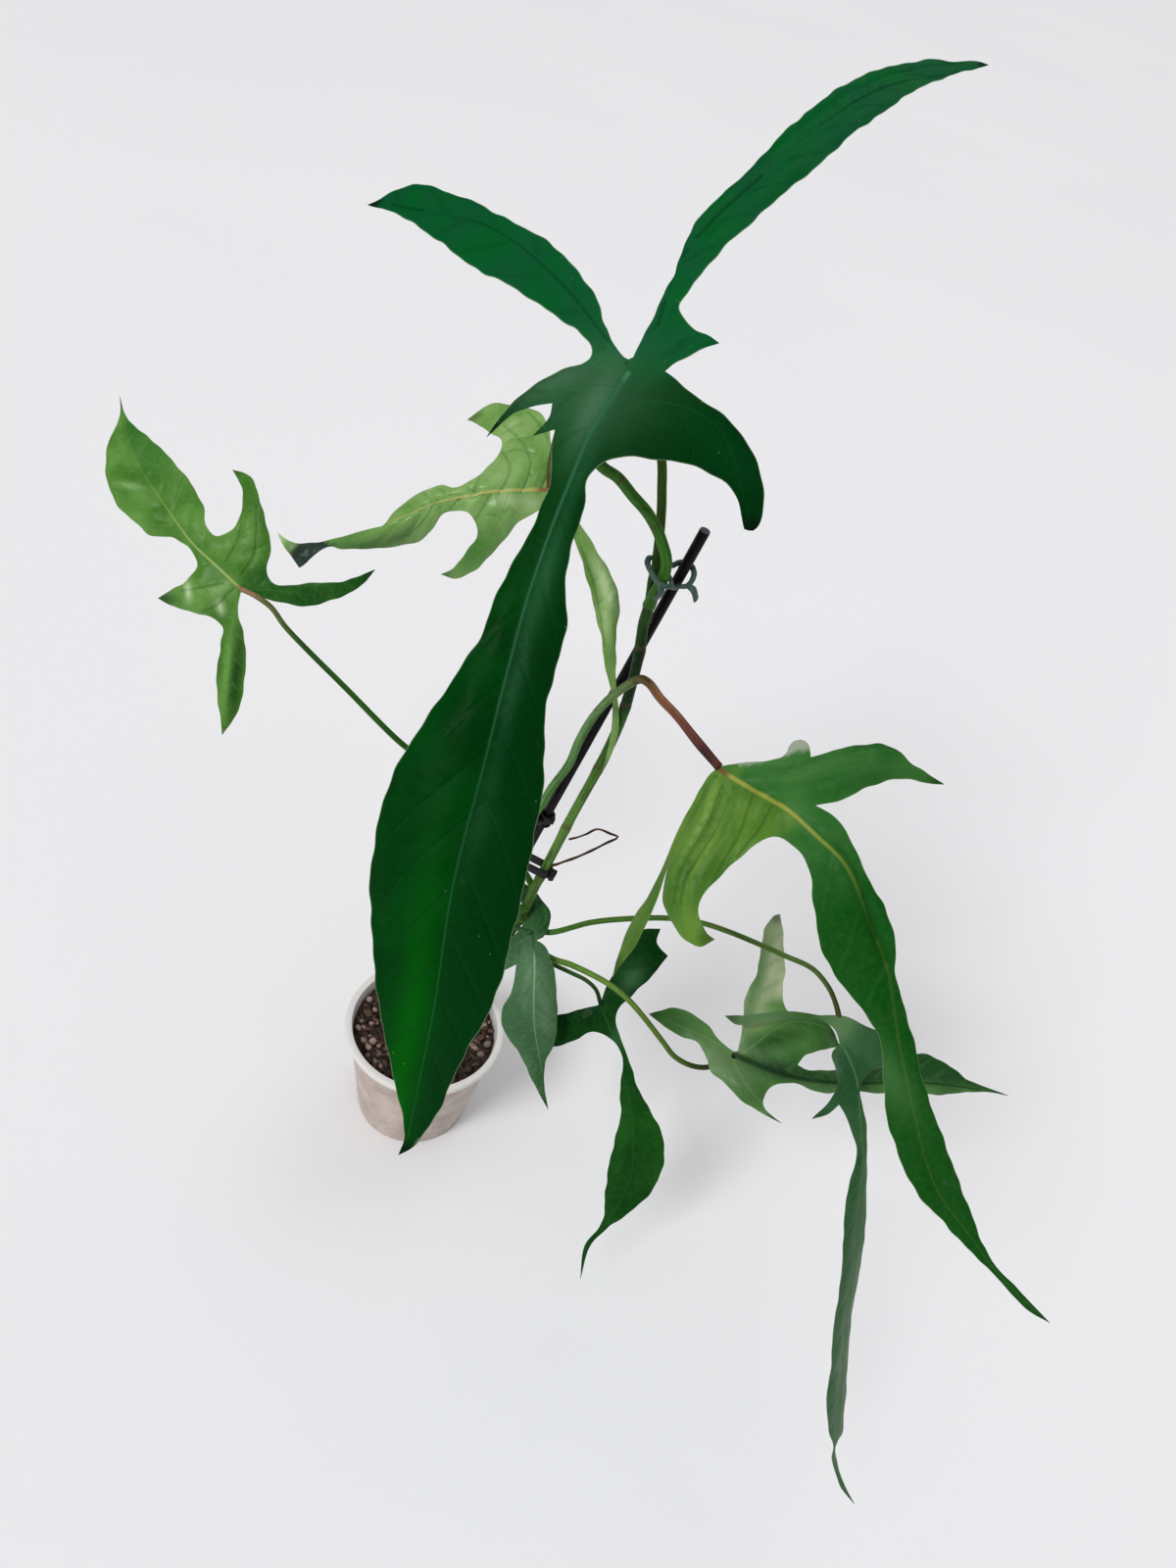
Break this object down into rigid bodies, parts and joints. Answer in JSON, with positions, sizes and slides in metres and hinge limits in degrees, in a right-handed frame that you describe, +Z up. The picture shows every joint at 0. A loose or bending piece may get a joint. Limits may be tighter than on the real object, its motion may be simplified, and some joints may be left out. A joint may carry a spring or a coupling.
{
  "type": "potted philodendron",
  "caption": "Climbing aroid with long-lobed glossy leaves on thin stalks, tied to a leaning dark stake in a white nursery pot; it stands on its pot.",
  "frame": {"origin": "middle of the pot's foot, on the floor", "axes": "+X to the right and +Y away from the viewer as the picture shows the plant, +Z up"},
  "size_m": [0.6997, 0.4981, 0.7458],
  "materials": {
    "pot_white": "satin, slightly translucent",
    "bark_mix": "rough and damp",
    "stake_black": "glossy",
    "stem_green": "smooth, satin",
    "stalk_red": "smooth, satin",
    "leaf_deep": "smooth, waxy",
    "leaf_light": "smooth, waxy",
    "leaf_mid": "smooth, waxy",
    "leaf_grey": "smooth, waxy",
    "root_brown": "dry",
    "tie_green": "satin",
    "tie_black": "satin"
  },
  "bodies": {
    "root": {"nursery_pot": "pot_white", "potting_mix": "bark_mix", "stake": "stake_black", "main_stem": "stem_green", "blade_a": "leaf_deep", "stalk_a": "stem_green", "blade_b": "leaf_light", "stalk_b": "stem_green", "blade_c": "leaf_mid", "stalk_c": "stem_green", "blade_d": "leaf_mid", "stalk_d": "stalk_red", "blade_e": "leaf_mid", "stalk_e": "stem_green", "blade_f": "leaf_grey", "stalk_f": "stem_green", "blade_g": "leaf_deep", "stalk_g": "stem_green", "blade_h": "leaf_grey", "stalk_h": "stem_green", "aerial_root": "root_brown", "top_tie": "tie_green", "stake_clip": "tie_black", "lower_tie": "tie_black"}
  },
  "joints": []
}
